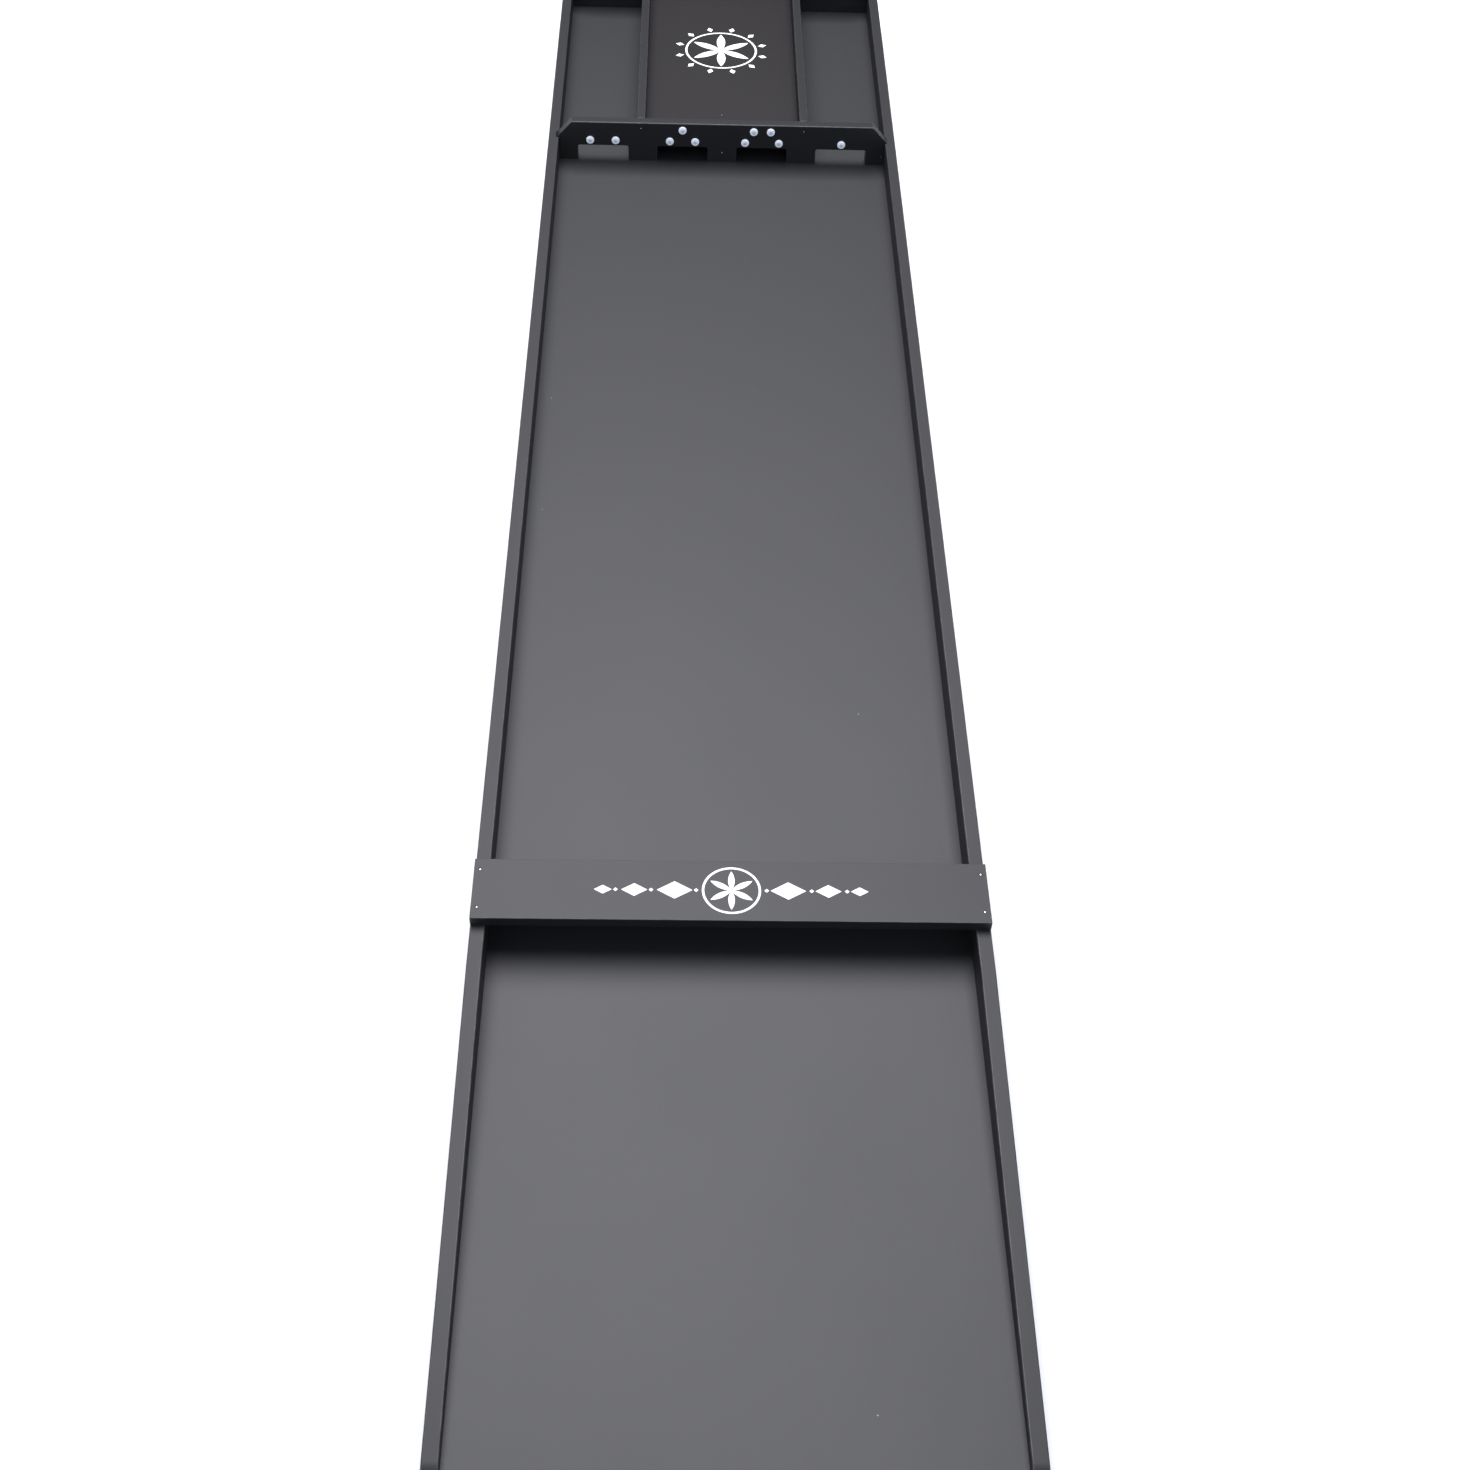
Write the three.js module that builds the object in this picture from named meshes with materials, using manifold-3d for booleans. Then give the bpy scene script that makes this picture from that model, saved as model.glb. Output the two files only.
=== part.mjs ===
// A two metre board for sliding wooden discs: two side rails, a grooved-in playing surface,
// a start bar across the rails, a bar with four scoring gates, and compartments behind it.
// Lengths are in millimetres. +Y runs from the player's end to the gates, +Z is up, and the
// origin is on the table, under the middle of the board.
import * as THREE from 'three';
import { mergeVertices } from 'three/addons/utils/BufferGeometryUtils.js';
import Module from 'manifold-3d';

const wasm = await Module();
wasm.setup();

// The whole board
const boardLength = 2000;
const boardWidth = 410;
const fitGap = 0.3;
const overrun = 5;

// Side rails
const railThickness = 12;
const railHeight = 60;
const railFrontHeight = 39;
const railSlopeLength = 400;
const railNoseRadius = 20;
const edgeRadius = 1.2;

// Playing surface
const surfaceHeight = 31;
const surfaceThickness = 4;
const surfaceGrooveDepth = 6;
const surfaceSetback = 5;

// Start bar
const startBarSetback = 440;
const startBarDepth = 60;
const startBarThickness = 9;

// Gate bar
const gateBarThickness = 12;
const gateBarRise = 49;
const gateBarHousing = 3;
const cornerCutWidth = 19;
const cornerCutDrop = 21;
const gateWidth = 60;
const gateRise = 19;
const gateEdgeInset = 22;
const gateCornerRadius = 2.5;

// Compartments behind the gates
const compartmentLength = 363;
const endBoardThickness = 15;
const dividerThickness = 10;
const dividerOffset = 2;
const lowDividerRise = 21;
const coverThickness = 4;
const coverGrooveDepth = 3;

// Battens under the playing surface
const battenDepth = 30;
const battenHeight = 20;
const frontBattenSetback = 10;

// Domed number nails
const nailHeadRadius = 5;
const nailHeadRise = 2.4;
const nailShankRadius = 1.25;
const nailShankLength = 9;
const nailPointLength = 2.5;
const nailLowRise = 26;
const nailHighRise = 40.5;
const nailPairHalfSpacing = 15;
const nailWideHalfSpacing = 20;
const nailNarrowHalfSpacing = 10;

// Slim pins that hold the wooden pieces together
const pinHeadRadius = 1.2;
const pinHeadThickness = 0.6;
const pinShankRadius = 0.8;
const pinPointLength = 1.6;
const surfacePinLength = 20;
const coverPinLength = 14;
const sidePinLength = 25;
const startBarPinLength = 30;
const startBarPinInset = 11;
const startBarPinEdge = 5;
const gateBarPinDrop = 7;
const gateBarLowPinRise = 12.5;
const gateBarSidePinRise = 14;
const endBoardSidePinHeights = [14, 45];
const endBoardPinRise = 7;
const coverPinRearInset = 14;
const coverPinFrontInset = 52;
const surfacePinShares = [0.2, 0.8];

// Worked out from the sizes above
const frontEnd = -boardLength / 2;
const rearEnd = boardLength / 2;
const railMiddle = (boardWidth - railThickness) / 2;
const railSlope = Math.atan2(railHeight - railFrontHeight, railSlopeLength);
const innerHalfWidth = boardWidth / 2 - railThickness;
const surfaceUnderside = surfaceHeight - surfaceThickness;
const wallTop = surfaceHeight + gateBarRise;
const startBarFront = frontEnd + startBarSetback;
const endBoardFront = rearEnd - endBoardThickness;
const endBoardMiddle = rearEnd - endBoardThickness / 2;
const gateBarBack = endBoardFront - compartmentLength;
const gateBarFront = gateBarBack - gateBarThickness;
const gateBarMiddle = gateBarFront + gateBarThickness / 2;
const gateBarHalfWidth = innerHalfWidth + gateBarHousing;
const compartmentMiddle = gateBarBack + compartmentLength / 2;
const coverUnderside = surfaceHeight + lowDividerRise;
const coverTop = coverUnderside + coverThickness;
const gates = [0, 1, 2, 3];
const lastGate = gates.length - 1;
const gatePitch = (2 * (innerHalfWidth - gateEdgeInset) - gateWidth) / lastGate;
const gateCentres = gates.map((gate) => (gate - lastGate / 2) * gatePitch);
const dividerX = gatePitch + dividerOffset;
const sides = [-1, 1];

// How finely round stretches are cut
const arcSteps = 4;
const noseSteps = 10;
const pinSides = 8;
const nailSides = 20;
const nailDomeSteps = 5;

// Directions in which pins are driven
const downward = new THREE.Vector3(0, 0, -1);
const upward = new THREE.Vector3(0, 0, 1);
const rearward = new THREE.Vector3(0, 1, 0);
const forward = new THREE.Vector3(0, -1, 0);

// A closed outline from [x, y, radius] corners, each rounded where it has a radius
function outline(corners, side = 1, steps = arcSteps) {
  const points = [];
  corners.forEach(([x, y, radius = 0], index) => {
    const corner = new THREE.Vector2(x, y);
    if (radius === 0) {
      points.push(corner);
      return;
    }
    const [beforeX, beforeY] = corners.at(index - 1);
    const [afterX, afterY] = corners[(index + 1) % corners.length];
    const toBefore = new THREE.Vector2(beforeX, beforeY).sub(corner).normalize();
    const toAfter = new THREE.Vector2(afterX, afterY).sub(corner).normalize();
    const halfAngle = Math.acos(toBefore.dot(toAfter)) / 2;
    const reach = radius / Math.sin(halfAngle);
    const centre = toBefore.clone().add(toAfter).setLength(reach).add(corner);
    const start = toBefore.setLength(radius / Math.tan(halfAngle)).add(corner).sub(centre);
    const end = toAfter.setLength(radius / Math.tan(halfAngle)).add(corner).sub(centre);
    const sweep = Math.atan2(start.cross(end), start.dot(end));
    for (let step = 0; step <= steps; step += 1) {
      const point = start.clone().rotateAround(new THREE.Vector2(), (sweep * step) / steps);
      points.push(point.add(centre));
    }
  });
  return new THREE.Shape(points.map((point) => new THREE.Vector2(point.x * side, point.y)));
}

// A solid of that outline, drawn across X and up Z, and running along Y from 0 to length
function alongY(shape, length) {
  const geometry = new THREE.ExtrudeGeometry(shape, { depth: length, bevelEnabled: false });
  return geometry.rotateX(Math.PI / 2).translate(0, length, 0);
}

// A solid of an outline drawn along Y and up Z, and running across X, centred on X = 0
function acrossX(shape, width) {
  const geometry = new THREE.ExtrudeGeometry(shape, { depth: width, bevelEnabled: false });
  return geometry.rotateX(Math.PI / 2).rotateZ(Math.PI / 2).translate(-width / 2, 0, 0);
}

// A box between two corners
function block(low, high) {
  const [sizeX, sizeY, sizeZ] = low.map((value, axis) => high[axis] - value);
  const geometry = new THREE.BoxGeometry(sizeX, sizeY, sizeZ);
  return geometry.translate(low[0] + sizeX / 2, low[1] + sizeY / 2, low[2] + sizeZ / 2);
}

// The span along X of a cut of that depth into the inner face of a piece on the given side
function inwards(side, half, depth) {
  const span = [-side * (half - depth), -side * (half + overrun)];
  return [Math.min(...span), Math.max(...span)];
}

// Closed geometry to a solid that can be cut, and back
function solidOf(geometry) {
  const bare = geometry.clone();
  bare.deleteAttribute('normal');
  bare.deleteAttribute('uv');
  const merged = mergeVertices(bare);
  const vertProperties = new Float32Array(merged.attributes.position.array);
  const triVerts = new Uint32Array(merged.index.array);
  return new wasm.Manifold(new wasm.Mesh({ numProp: 3, vertProperties, triVerts }));
}

function geometryOf(solid) {
  const { vertProperties, triVerts } = solid.getMesh();
  const geometry = new THREE.BufferGeometry();
  geometry.setAttribute('position', new THREE.BufferAttribute(vertProperties, 3));
  geometry.setIndex(new THREE.BufferAttribute(triVerts, 1));
  geometry.computeVertexNormals();
  return geometry;
}

function cut(geometry, tools) {
  return geometryOf(tools.reduce((solid, tool) => solid.subtract(solidOf(tool)), solidOf(geometry)));
}

// A lathe profile of [radius, height] points, turned about the line that a pin is driven along
function turned(profile, sidesRound, direction) {
  const points = profile.map(([radius, height]) => new THREE.Vector2(radius, height));
  const toDirection = new THREE.Quaternion();
  toDirection.setFromUnitVectors(new THREE.Vector3(0, -1, 0), direction);
  return new THREE.LatheGeometry(points, sidesRound).applyQuaternion(toDirection);
}

// The hole that profile drills into a piece whose own origin is given
function drilled(profile, head, direction, origin) {
  const place = head.clone().sub(origin);
  return turned(profile, pinSides, direction).translate(place.x, place.y, place.z);
}

// A pin is { head, direction, length }: where its head's face lies, and which way it is driven
function pinBody({ head, direction, length }) {
  const profile = [
    [0, -length],
    [pinShankRadius, pinPointLength - length],
    [pinShankRadius, -pinHeadThickness],
    [pinHeadRadius, -pinHeadThickness],
    [pinHeadRadius, 0],
    [0, 0],
  ];
  return { geometry: turned(profile, pinSides, direction), origin: head };
}

// The hole for a pin, open at the face it is driven through, seen from a piece's own origin
function pinHole({ head, direction, length }, origin) {
  const profile = [
    [0, -length - fitGap],
    [pinShankRadius + fitGap, -length - fitGap],
    [pinShankRadius + fitGap, -pinHeadThickness - fitGap],
    [pinHeadRadius + fitGap, -pinHeadThickness - fitGap],
    [pinHeadRadius + fitGap, overrun],
    [0, overrun],
  ];
  return drilled(profile, head, direction, origin);
}

function holesFor(pins, origin) {
  return pins.map((pin) => pinHole(pin, origin));
}

// Where each set of pins goes
function numbered(name, pins) {
  return pins.map((pin, index) => ({ name: `${name}_${index + 1}`, ...pin }));
}

const startBarPinInsets = [startBarPinInset, startBarDepth - startBarPinInset];
const startBarPinPlaces = sides.flatMap((side) => (
  startBarPinInsets.map((inset) => [side * (boardWidth / 2 - startBarPinEdge), startBarFront + inset])
));
const startBarPins = numbered('start_bar_pin', startBarPinPlaces.map(([x, y]) => ({
  head: new THREE.Vector3(x, y, railHeight + startBarThickness),
  direction: downward,
  length: startBarPinLength,
})));

const gateBarPins = numbered('gate_bar_pin', [
  [-dividerX, wallTop - gateBarPinDrop],
  [0, surfaceHeight + gateBarLowPinRise],
  [dividerX, wallTop - gateBarPinDrop],
].map(([x, z]) => ({
  head: new THREE.Vector3(x, gateBarFront, z),
  direction: rearward,
  length: sidePinLength,
})));

const endBoardPins = numbered('end_board_pin', [-dividerX, 0, dividerX].map((x) => ({
  head: new THREE.Vector3(x, rearEnd, surfaceHeight + endBoardPinRise),
  direction: forward,
  length: sidePinLength,
})));

const coverPinPlaces = [gateBarBack + coverPinFrontInset, endBoardFront - coverPinRearInset];
const coverPins = numbered('cover_pin', coverPinPlaces.map((y) => ({
  head: new THREE.Vector3(0, y, coverTop),
  direction: downward,
  length: coverPinLength,
})));

const surfacePinPlaces = [-dividerX, 0, dividerX].flatMap((x) => (
  surfacePinShares.map((share) => [x, gateBarBack + compartmentLength * share])
));
const surfacePins = numbered('divider_pin', surfacePinPlaces.map(([x, y]) => ({
  head: new THREE.Vector3(x, y, surfaceUnderside),
  direction: upward,
  length: surfacePinLength,
})));

const battenMiddles = {
  front_batten: frontEnd + frontBattenSetback + battenDepth / 2,
  start_batten: startBarFront + startBarDepth / 2,
  middle_batten: (startBarFront + startBarDepth + gateBarFront) / 2,
  gate_batten: gateBarMiddle,
  rear_batten: compartmentMiddle,
};

function railPins(sideName, side) {
  const battenPinHeight = surfaceUnderside - battenHeight / 2;
  const places = [
    ...Object.values(battenMiddles).map((y) => [y, battenPinHeight]),
    [gateBarMiddle, surfaceHeight + gateBarSidePinRise],
    ...endBoardSidePinHeights.map((height) => [endBoardMiddle, height]),
  ];
  return numbered(`${sideName}_rail_pin`, places.map(([y, z]) => ({
    head: new THREE.Vector3((side * boardWidth) / 2, y, z),
    direction: new THREE.Vector3(-side, 0, 0),
    length: sidePinLength,
  })));
}

const leftRailPins = railPins('left', -1);
const rightRailPins = railPins('right', 1);

// A number nail is { name, x, rise }: its place on the front of the gate bar
const gateNails = [
  ...numbered('gate_two_nail', [
    { x: gateCentres[0] - nailPairHalfSpacing, rise: nailLowRise },
    { x: gateCentres[0] + nailPairHalfSpacing, rise: nailLowRise },
  ]),
  ...numbered('gate_three_nail', [
    { x: gateCentres[1] - nailPairHalfSpacing, rise: nailLowRise },
    { x: gateCentres[1], rise: nailHighRise },
    { x: gateCentres[1] + nailPairHalfSpacing, rise: nailLowRise },
  ]),
  ...numbered('gate_four_nail', [
    { x: gateCentres[2] - nailWideHalfSpacing, rise: nailLowRise },
    { x: gateCentres[2] - nailNarrowHalfSpacing, rise: nailHighRise },
    { x: gateCentres[2] + nailNarrowHalfSpacing, rise: nailHighRise },
    { x: gateCentres[2] + nailWideHalfSpacing, rise: nailLowRise },
  ]),
  ...numbered('gate_one_nail', [{ x: gateCentres[3], rise: nailLowRise }]),
];

// Finishes
function finish(color, roughness, metalness = 0) {
  return () => new THREE.MeshStandardMaterial({ color, roughness, metalness });
}

const railPaint = finish(0x2c2c2e, 0.5);
const surfacePaint = finish(0x38383b, 0.42);
const barPaint = finish(0x303032, 0.45);
const coverPaint = finish(0x2b2828, 0.55);
const battenWood = finish(0xb9976a, 0.7);
const polishedNail = finish(0xcfd4de, 0.2, 1);
const pinSteel = finish(0xc4c4c6, 0.3, 1);

const board = new THREE.Group();
board.name = 'dutch_shuffleboard';

function place(name, geometry, material, origin) {
  const mesh = new THREE.Mesh(geometry, material());
  mesh.name = name;
  mesh.position.copy(origin);
  board.add(mesh);
}

// A rail: an eased section with the surface's groove, a top that slopes down to a round nose at
// the player's end, and a housing for the gate bar
function sideRail(side, pins) {
  const origin = new THREE.Vector3(side * railMiddle, frontEnd, 0);
  const half = railThickness / 2;
  const grooveFloor = half - surfaceGrooveDepth - fitGap;
  const section = outline([
    [-half, 0],
    [half, 0],
    [half, surfaceUnderside - fitGap],
    [grooveFloor, surfaceUnderside - fitGap],
    [grooveFloor, surfaceHeight + fitGap],
    [half, surfaceHeight + fitGap],
    [half, railHeight, edgeRadius],
    [-half, railHeight, edgeRadius],
  ], -side);
  const profile = outline([
    [0, 0],
    [boardLength, 0],
    [boardLength, railHeight],
    [railSlopeLength, railHeight],
    [0, railFrontHeight, railNoseRadius],
  ], 1, noseSteps);
  const sideView = acrossX(profile, railThickness + overrun);
  const slopeSection = outline([
    [-half, -boardLength],
    [half, -boardLength],
    [half, 0, edgeRadius],
    [-half, 0, edgeRadius],
  ]);
  const slopeForm = alongY(slopeSection, boardLength + overrun + overrun)
    .translate(0, -overrun, 0)
    .rotateX(railSlope)
    .translate(0, 0, railFrontHeight);
  const nosed = [sideView, slopeForm].reduce(
    (solid, form) => solid.intersect(solidOf(form)),
    solidOf(alongY(section, boardLength)),
  );
  const [housingLeft, housingRight] = inwards(side, half, gateBarHousing + fitGap);
  const housing = block(
    [housingLeft, gateBarFront - frontEnd - fitGap, surfaceHeight],
    [housingRight, gateBarBack - frontEnd + fitGap, railHeight + overrun],
  );
  const tools = [housing, ...holesFor([...pins, ...startBarPins], origin)];
  return { geometry: cut(geometryOf(nosed), tools), origin };
}

// The front outline of a board that stands between the rails and steps down to them at its corners
function walledOutline(halfWidth, base, openings = []) {
  const rise = wallTop - base;
  const notches = openings.flatMap((centre) => [
    [centre + gateWidth / 2, 0],
    [centre + gateWidth / 2, gateRise, gateCornerRadius],
    [centre - gateWidth / 2, gateRise, gateCornerRadius],
    [centre - gateWidth / 2, 0],
  ]);
  return outline([
    [-halfWidth, 0],
    [-halfWidth, rise - cornerCutDrop],
    [cornerCutWidth - halfWidth, rise],
    [halfWidth - cornerCutWidth, rise],
    [halfWidth, rise - cornerCutDrop],
    [halfWidth, 0],
    ...notches,
  ]);
}

function endBoard() {
  const origin = new THREE.Vector3(0, endBoardFront, 0);
  const body = alongY(walledOutline(innerHalfWidth - fitGap, 0), endBoardThickness);
  const groove = block(
    [-boardWidth / 2, -overrun, surfaceUnderside - fitGap],
    [boardWidth / 2, surfaceGrooveDepth + fitGap, surfaceHeight + fitGap],
  );
  const pins = [...endBoardPins, ...leftRailPins, ...rightRailPins];
  return { geometry: cut(body, [groove, ...holesFor(pins, origin)]), origin };
}

function playingSurface() {
  const origin = new THREE.Vector3(0, frontEnd + surfaceSetback, surfaceUnderside);
  const halfWidth = innerHalfWidth + surfaceGrooveDepth;
  const length = boardLength - surfaceSetback - endBoardThickness + surfaceGrooveDepth;
  const body = block([-halfWidth, 0, 0], [halfWidth, length, surfaceThickness]);
  return { geometry: cut(body, holesFor(surfacePins, origin)), origin };
}

function batten(middle) {
  const origin = new THREE.Vector3(0, middle, surfaceUnderside - battenHeight);
  const halfWidth = innerHalfWidth - fitGap;
  const body = block([-halfWidth, -battenDepth / 2, 0], [halfWidth, battenDepth / 2, battenHeight]);
  return { geometry: cut(body, holesFor([...leftRailPins, ...rightRailPins], origin)), origin };
}

function startBar() {
  const origin = new THREE.Vector3(0, startBarFront, railHeight);
  const section = outline([
    [0, 0, edgeRadius],
    [startBarDepth, 0, edgeRadius],
    [startBarDepth, startBarThickness, edgeRadius],
    [0, startBarThickness, edgeRadius],
  ]);
  return { geometry: cut(acrossX(section, boardWidth), holesFor(startBarPins, origin)), origin };
}

function nailBody({ x, rise }) {
  const dome = [];
  for (let step = 0; step <= nailDomeSteps; step += 1) {
    const angle = (step / nailDomeSteps) * (Math.PI / 2);
    dome.push([nailHeadRadius * Math.cos(angle), nailHeadRise * Math.sin(angle)]);
  }
  dome[nailDomeSteps][0] = 0;
  const profile = [
    [0, -nailShankLength],
    [nailShankRadius, nailPointLength - nailShankLength],
    [nailShankRadius, 0],
    ...dome,
  ];
  const origin = new THREE.Vector3(x, gateBarFront, surfaceHeight + rise);
  return { geometry: turned(profile, nailSides, rearward), origin };
}

function nailHole({ x, rise }, origin) {
  const profile = [
    [0, -nailShankLength - fitGap],
    [nailShankRadius + fitGap, -nailShankLength - fitGap],
    [nailShankRadius + fitGap, overrun],
    [0, overrun],
  ];
  return drilled(profile, new THREE.Vector3(x, gateBarFront, surfaceHeight + rise), rearward, origin);
}

function gateBar() {
  const origin = new THREE.Vector3(0, gateBarFront, surfaceHeight);
  const openings = [...gateCentres].reverse();
  const body = alongY(walledOutline(gateBarHalfWidth, surfaceHeight, openings), gateBarThickness);
  const nailHoles = gateNails.map((nail) => nailHole(nail, origin));
  const pins = [...gateBarPins, ...leftRailPins, ...rightRailPins];
  return { geometry: cut(body, [...nailHoles, ...holesFor(pins, origin)]), origin };
}

// A tall divider, with a groove on its inner face for the cover panel
function tallDivider(side) {
  const origin = new THREE.Vector3(side * dividerX, gateBarBack, surfaceHeight);
  const half = dividerThickness / 2;
  const body = block([-half, 0, 0], [half, compartmentLength, gateBarRise]);
  const [grooveLeft, grooveRight] = inwards(side, half, coverGrooveDepth + fitGap);
  const groove = block(
    [grooveLeft, -overrun, lowDividerRise - fitGap],
    [grooveRight, compartmentLength + overrun, lowDividerRise + coverThickness + fitGap],
  );
  const pins = [...gateBarPins, ...endBoardPins, ...surfacePins];
  return { geometry: cut(body, [groove, ...holesFor(pins, origin)]), origin };
}

function centreDivider() {
  const origin = new THREE.Vector3(0, gateBarBack, surfaceHeight);
  const half = dividerThickness / 2;
  const body = block([-half, 0, 0], [half, compartmentLength, lowDividerRise]);
  const pins = [...gateBarPins, ...endBoardPins, ...surfacePins, ...coverPins];
  return { geometry: cut(body, holesFor(pins, origin)), origin };
}

function coverPanel() {
  const origin = new THREE.Vector3(0, gateBarBack + fitGap, coverUnderside);
  const halfWidth = dividerX - dividerThickness / 2 + coverGrooveDepth;
  const length = compartmentLength - fitGap - fitGap;
  const body = block([-halfWidth, 0, 0], [halfWidth, length, coverThickness]);
  return { geometry: cut(body, holesFor(coverPins, origin)), origin };
}

function placePiece(name, { geometry, origin }, material) {
  place(name, geometry, material, origin);
}

placePiece('left_side_rail', sideRail(-1, leftRailPins), railPaint);
placePiece('right_side_rail', sideRail(1, rightRailPins), railPaint);
placePiece('end_board', endBoard(), barPaint);
placePiece('playing_surface', playingSurface(), surfacePaint);
Object.entries(battenMiddles).forEach(([name, middle]) => {
  placePiece(name, batten(middle), battenWood);
});
placePiece('start_bar', startBar(), barPaint);
placePiece('gate_bar', gateBar(), barPaint);
placePiece('left_divider', tallDivider(-1), barPaint);
placePiece('right_divider', tallDivider(1), barPaint);
placePiece('centre_divider', centreDivider(), barPaint);
placePiece('cover_panel', coverPanel(), coverPaint);
gateNails.forEach((nail) => {
  placePiece(nail.name, nailBody(nail), polishedNail);
});
[
  ...startBarPins,
  ...gateBarPins,
  ...coverPins,
  ...leftRailPins,
  ...rightRailPins,
  ...endBoardPins,
  ...surfacePins,
].forEach((pin) => {
  placePiece(pin.name, pinBody(pin), pinSteel);
});

export default board;
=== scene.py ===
"""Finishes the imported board: eased and painted wood, nail and pin heads, print, stage, light and camera."""
from math import atan2, cos, pi, radians, sin, tan

import bmesh
import bpy
from bpy.props import FloatProperty, FloatVectorProperty, IntProperty, PointerProperty
from mathutils import Matrix, Vector


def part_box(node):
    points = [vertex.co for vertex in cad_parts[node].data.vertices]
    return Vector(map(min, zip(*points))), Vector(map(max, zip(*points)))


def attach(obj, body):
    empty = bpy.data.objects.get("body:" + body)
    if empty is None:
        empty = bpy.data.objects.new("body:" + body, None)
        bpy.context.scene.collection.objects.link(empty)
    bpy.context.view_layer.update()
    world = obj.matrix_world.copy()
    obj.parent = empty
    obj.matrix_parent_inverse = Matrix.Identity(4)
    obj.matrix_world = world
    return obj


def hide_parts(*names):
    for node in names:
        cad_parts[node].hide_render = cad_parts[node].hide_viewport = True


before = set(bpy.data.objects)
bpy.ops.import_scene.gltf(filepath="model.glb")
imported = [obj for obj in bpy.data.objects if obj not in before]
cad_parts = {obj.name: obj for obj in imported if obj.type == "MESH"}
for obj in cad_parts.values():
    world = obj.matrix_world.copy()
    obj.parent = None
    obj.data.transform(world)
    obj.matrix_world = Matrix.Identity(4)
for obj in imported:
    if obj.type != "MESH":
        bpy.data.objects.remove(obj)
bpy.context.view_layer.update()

bl_info = {
    "name": "Dutch Shuffleboard",
    "version": (1, 0, 0),
    "blender": (4, 5, 0),
    "location": "View3D > Sidebar > Shuffleboard",
    "description": "Builds the painted pieces of a two metre shuffleboard around its packed frame",
    "category": "Object",
}

# Faces round a nail's head, across its rounded rim, round a pin, a printed ring and a petal's arc
HEAD_SIDES = 48
HEAD_STEPS = 8
PIN_SIDES = 24
RING_SIDES = 96
PETAL_SIDES = 120

# Points nearer than this become one, and points nearer than the second lie on a cutting plane
MERGE_DISTANCE = 1e-6
PLANE_DISTANCE = 1e-7

# Edges that turn by more than this are eased, and those that turn by more than the second are shaded sharp
EASED_ANGLE = radians(25)
CREASE_ANGLE = radians(35)

# Share of a direction that points along the board, where the light from the room starts and stops fading
ROOM_FADE = (-0.6, 0.4)

# The camera's clipping distances in metres, the backdrop, and how far the floor's tone strays
CAMERA_REACH = (0.05, 200.0)
WHITE = (1.0, 1.0, 1.0, 1.0)
FLOOR_SPECKLE = 0.01

# How fine the patterns of the finishes are: the larger, the finer
GRAIN_ACROSS = 46.0
GRAIN_ALONG = 1.6
GRAIN_SCALE = 3.0
CLOUD_SCALE = 5.0
TOOTH_SCALE = 620.0
RUBBED_AND_HIGHLIT_SCALE = 90.0
FLECK_SCALE = 95.0
BARE_BOARD_SCALE = 340.0
PIN_SCUFF_SCALE = 1900.0
NAIL_SCUFF_SCALE = 1500.0
PRINT_SCALE = 700.0
FLOOR_SCALE = 30.0
RING_STRETCH = (0.4, 9.0, 9.0)
DRIFT_STRETCH = (1.2, 22.0, 22.0)
FIBRE_STRETCH = (8.0, 420.0, 420.0)

# The values that most of a noise pattern lies between, narrowly and widely
NOISE_MIDDLE = (0.3, 0.7)
NOISE_MOST = (0.2, 0.8)

# Paint: how far its clouds and tooth show and what they do to its tone, and how its gloss strays
CLOUD_SHARE = 0.08
CLOUD_TINT = 1.5
TOOTH_SHARE = 0.16
TOOTH_TINT = 0.5
GLOSS_STRAY = 0.01
BURNISH = 0.12
FLECK_EDGE = (0.035, 0.055)

# How deep the patterns are, in metres
GRAIN_DEPTH = 0.00012
TOOTH_DEPTH = 0.00006
FIBRE_DEPTH = 0.0002
SCUFF_DEPTH = 0.00001
PRINT_TOOTH_DEPTH = 0.00004

# Where paint gives way to bare steel on a pin, and a nail's darker boss to its painted highlight ring on the
# brim, as shares of the head's radius
BARE_STEEL_EDGE = (0.52, 0.62)
BOSS_EDGE = (0.38, 0.52)

# Ornaments: sizes are shares of their ring's radius, and waists are shares of a lozenge's length
LOZENGE_HALVES = (0.60, 0.44, 0.30)
LOZENGE_WAIST = 0.62
DOT_HALF = 0.08
RAYS = 12
RAY_START = 1.07
RAY_HALF = 0.12
RAY_WAIST = 0.7

# A dot's place and the room it takes, in dots, the petals' gap, in lines, and the cover's line, in lines
DOT_PLACE = 2.4
DOT_ROOM = 4
PETAL_GAP = 2.2
COVER_LINE = 1.3

# Where the pieces of the frame lie
RAIL_LOW, RAIL_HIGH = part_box("right_side_rail")
SURFACE_LOW, SURFACE_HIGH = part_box("playing_surface")
GATE_LOW, GATE_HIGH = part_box("gate_bar")
END_LOW, END_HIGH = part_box("end_board")
START_LOW, START_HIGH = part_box("start_bar")
COVER_LOW, COVER_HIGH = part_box("cover_panel")

SIDES = {"left": -1, "right": 1}
BATTENS = ("front_batten", "start_batten", "middle_batten", "gate_batten", "rear_batten")
NAIL_SETS = {"gate_two_nail": 2, "gate_three_nail": 3, "gate_four_nail": 4, "gate_one_nail": 1}
NAILS = [f"{name}_{index + 1}" for name, count in NAIL_SETS.items() for index in range(count)]

# Each set of pins: how many there are, and which way they are driven
PIN_SETS = {
    "start_bar_pin": (4, Vector((0, 0, -1))),
    "cover_pin": (2, Vector((0, 0, -1))),
    "gate_bar_pin": (3, Vector((0, 1, 0))),
    "end_board_pin": (3, Vector((0, -1, 0))),
    "left_rail_pin": (8, Vector((1, 0, 0))),
    "right_rail_pin": (8, Vector((-1, 0, 0))),
    "divider_pin": (6, Vector((0, 0, 1))),
}


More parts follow.
